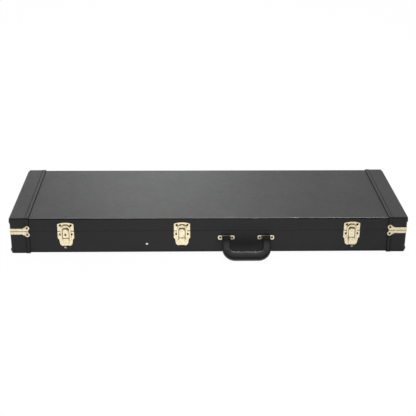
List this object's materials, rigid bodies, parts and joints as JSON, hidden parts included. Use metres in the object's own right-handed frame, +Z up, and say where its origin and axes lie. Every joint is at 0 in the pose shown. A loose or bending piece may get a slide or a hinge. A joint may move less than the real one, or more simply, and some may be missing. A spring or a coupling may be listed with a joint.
{
  "type": "electric guitar case",
  "caption": "Rectangular hardshell case for an electric guitar: hinged lid, drawbolt latches with a lock, swing handle, stitched end caps and a padded, fitted inside.",
  "frame": {"origin": "centre of the covered underside, midway between the end faces and between the covered front and back; the end caps and their welts stand 2.6 mm below it", "axes": "+Z up through the lid, +X along the case towards the guitar's body end, -Y out of the front with the latches and handle"},
  "size_m": [1.0282, 0.404, 0.1012],
  "materials": {
    "plywood": "bare plywood",
    "leathercloth": "fine-grained black leathercloth",
    "cap_leathercloth": "black leathercloth with a stitched welt",
    "plush": "short black plush",
    "brass": "polished brass plate",
    "steel": "plain steel",
    "grip": "moulded black grip",
    "tab_leather": "black leather tab"
  },
  "bodies": {
    "root": {"body_front_board": "plywood", "body_back_board": "plywood", "body_left_end_board": "plywood", "body_right_end_board": "plywood", "body_bottom_panel": "plywood", "body_covering": "leathercloth", "body_left_cap": "cap_leathercloth", "body_right_cap": "cap_leathercloth", "inner_frame": "plywood", "body_lining": "plush", "bottom_pad": "plush", "neck_support": "plush", "shoulder_block_front": "plush", "shoulder_block_back": "plush", "tail_block_front": "plush", "tail_block_back": "plush", "compartment_wall": "plush", "hinge_body_leaves": "brass", "spine_feet": "brass", "latch_base_left": "brass", "latch_base_middle": "brass", "latch_base_right": "brass", "handle_bracket_left": "brass", "handle_bracket_right": "brass", "body_corner_straps": "brass", "body_eyelets": "brass", "body_rivets": "brass", "neck_rest_nail": "brass"},
    "lid": {"lid_front_board": "plywood", "lid_back_board": "plywood", "lid_left_end_board": "plywood", "lid_right_end_board": "plywood", "lid_top_panel": "plywood", "lid_covering": "leathercloth", "lid_left_cap": "cap_leathercloth", "lid_right_cap": "cap_leathercloth", "lid_lining": "plush", "lid_pad": "plush", "hinge_lid_leaves": "brass", "strike_plate_left": "brass", "strike_plate_middle": "brass", "strike_plate_right": "brass", "lid_corner_straps": "brass", "lid_eyelets": "brass", "lid_rivets": "brass"},
    "lever_left": {"latch_lever_left": "brass"},
    "bail_left": {"latch_bail_left": "brass"},
    "lever_middle": {"latch_lever_middle": "brass"},
    "bail_middle": {"latch_bail_middle": "brass"},
    "lever_right": {"latch_lever_right": "brass"},
    "bail_right": {"latch_bail_right": "brass"},
    "lock": {"lock_plug": "brass"},
    "handle": {"handle_grip": "grip", "handle_core": "steel"},
    "compartment_cover": {"compartment_lid": "plush", "pull_tab": "tab_leather"}
  },
  "joints": [
    {"name": "lid_hinge", "type": "hinge", "parent": "root", "child": "lid", "pos_m": [0, 0.1727, 0.06125], "axis": [-1, 0, 0], "range_deg": [0, 105]},
    {"name": "lever_left", "type": "hinge", "parent": "root", "child": "lever_left", "pos_m": [-0.37, -0.1755, 0.0424], "axis": [-1, 0, 0], "range_deg": [0, 100]},
    {"name": "bail_left", "type": "hinge", "parent": "lever_left", "child": "bail_left", "pos_m": [-0.37, -0.1734, 0.0374], "axis": [1, 0, 0], "range_deg": [0, 125]},
    {"name": "lever_middle", "type": "hinge", "parent": "root", "child": "lever_middle", "pos_m": [-0.071, -0.1755, 0.0424], "axis": [-1, 0, 0], "range_deg": [0, 100]},
    {"name": "bail_middle", "type": "hinge", "parent": "lever_middle", "child": "bail_middle", "pos_m": [-0.071, -0.1734, 0.0374], "axis": [1, 0, 0], "range_deg": [0, 125]},
    {"name": "lever_right", "type": "hinge", "parent": "root", "child": "lever_right", "pos_m": [0.369, -0.1755, 0.0424], "axis": [-1, 0, 0], "range_deg": [0, 100]},
    {"name": "bail_right", "type": "hinge", "parent": "lever_right", "child": "bail_right", "pos_m": [0.369, -0.1734, 0.0374], "axis": [1, 0, 0], "range_deg": [0, 125]},
    {"name": "lock_turn", "type": "hinge", "parent": "root", "child": "lock", "pos_m": [-0.37, -0.1735, 0.0535], "axis": [0, -1, 0], "range_deg": [0, 90]},
    {"name": "handle_swing", "type": "hinge", "parent": "root", "child": "handle", "pos_m": [0.095, -0.178, 0.0414], "axis": [-1, 0, 0], "range_deg": [-46, 127]},
    {"name": "compartment_hinge", "type": "hinge", "parent": "root", "child": "compartment_cover", "pos_m": [-0.057, -0.1529, 0.0533], "axis": [1, 0, 0], "range_deg": [0, 90]}
  ],
  "couplings": [
    {"joint": "bail_left", "follows": "lever_left", "ratio": 1.25},
    {"joint": "bail_middle", "follows": "lever_middle", "ratio": 1.25},
    {"joint": "bail_right", "follows": "lever_right", "ratio": 1.25},
    {"joint": "compartment_hinge", "follows": "lid_hinge", "ratio": 0.85}
  ]
}
